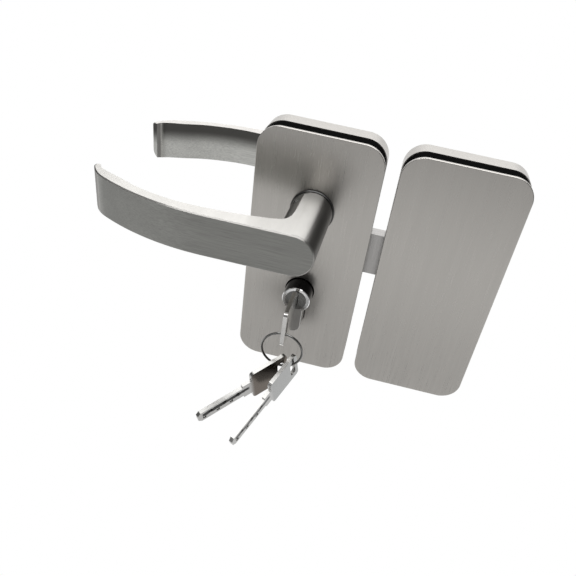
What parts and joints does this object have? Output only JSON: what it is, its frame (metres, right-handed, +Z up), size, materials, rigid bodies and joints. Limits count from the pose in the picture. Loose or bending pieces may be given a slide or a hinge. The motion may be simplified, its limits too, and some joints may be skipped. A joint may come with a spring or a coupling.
{
  "type": "sliding glass door latch",
  "caption": "Lever lock for a frameless glass door: round-cornered clamp plates on rubber pads, sprung bolt, curved handles, profile cylinder with keys, and a matching strike.",
  "frame": {"origin": "middle of the lock's glass clamp, on the plane where its two rubber pads meet", "axes": "+X along the door towards the strike, +Y from the front cover through the door, +Z up"},
  "size_m": [0.2325, 0.1612, 0.16],
  "materials": {
    "brushed_plate": "vertical hairline brush, satin",
    "brushed_handle": "lengthwise hairline brush, satin",
    "pad_rubber": "matt",
    "cylinder_chrome": "polished",
    "plug_nickel": "satin",
    "key_nickel": "bright nickel plate",
    "ring_nickel": "bright",
    "bolt_steel": "satin",
    "turned_steel": "turned",
    "spring_steel": "drawn wire",
    "zinc_sheet": "zinc plated"
  },
  "bodies": {
    "root": {"lock_front_cover": "brushed_plate", "lock_front_pad": "pad_rubber", "lock_rear_pad": "pad_rubber", "lock_rear_case": "brushed_plate", "lock_posts": "turned_steel", "lock_screws": "turned_steel", "mechanism_plate": "zinc_sheet", "mechanism_screws": "turned_steel", "latch_spring": "spring_steel", "spring_guide": "turned_steel", "front_collar": "brushed_handle", "rear_collar": "brushed_handle", "cylinder_body": "cylinder_chrome", "rear_plug": "plug_nickel", "cylinder_screw": "turned_steel", "strike_front_cover": "brushed_plate", "strike_front_pad": "pad_rubber", "strike_rear_pad": "pad_rubber", "strike_rear_case": "brushed_plate", "strike_posts": "turned_steel", "strike_screws": "turned_steel", "strike_keep": "zinc_sheet"},
    "lever_set": {"front_lever": "brushed_handle", "rear_lever": "brushed_handle", "lever_set_screws": "turned_steel", "spindle": "turned_steel", "follower": "zinc_sheet", "follower_pin": "turned_steel"},
    "latch": {"latch_bolt": "bolt_steel"},
    "plug": {"front_plug": "plug_nickel", "cylinder_cam": "turned_steel"},
    "key": {"lock_key": "key_nickel"},
    "ring": {"key_ring": "ring_nickel"},
    "spare_a": {"spare_key_a": "key_nickel"},
    "spare_b": {"spare_key_b": "key_nickel"}
  },
  "joints": [
    {"name": "lever_turn", "type": "hinge", "parent": "root", "child": "lever_set", "pos_m": [0, 0.0054, 0.0353], "axis": [0, -1, 0], "range_deg": [0, 40], "stiffness_Nm_per_rad": 1.1, "springref_deg": -34.38},
    {"name": "latch_slide", "type": "slide", "parent": "root", "child": "latch", "axis": [-1, 0, 0], "range_m": [0, 0.0137], "deforming": ["latch_spring"]},
    {"name": "key_turn", "type": "hinge", "parent": "root", "child": "plug", "pos_m": [0, -0.0178, -0.021], "axis": [0, -1, 0], "range_deg": [0, 90]},
    {"name": "key_pull", "type": "slide", "parent": "plug", "child": "key", "axis": [0, -1, 0], "range_m": [0, 0.032]},
    {"name": "ring_swing", "type": "hinge", "parent": "key", "child": "ring", "pos_m": [0, -0.0442, -0.0268], "axis": [1, 0, 0], "range_deg": [-15, 15]},
    {"name": "spare_a_swing", "type": "hinge", "parent": "ring", "child": "spare_a", "pos_m": [0, -0.0442, -0.0512], "axis": [1, 0, 0], "range_deg": [-6, 6]},
    {"name": "spare_b_swing", "type": "hinge", "parent": "ring", "child": "spare_b", "pos_m": [0.00682, -0.0442, -0.04911], "axis": [0.829, 0, 0.5592], "range_deg": [-6, 6]}
  ],
  "couplings": [
    {"joint": "latch_slide", "follows": "lever_turn", "m_per_rad": 0.019596}
  ]
}
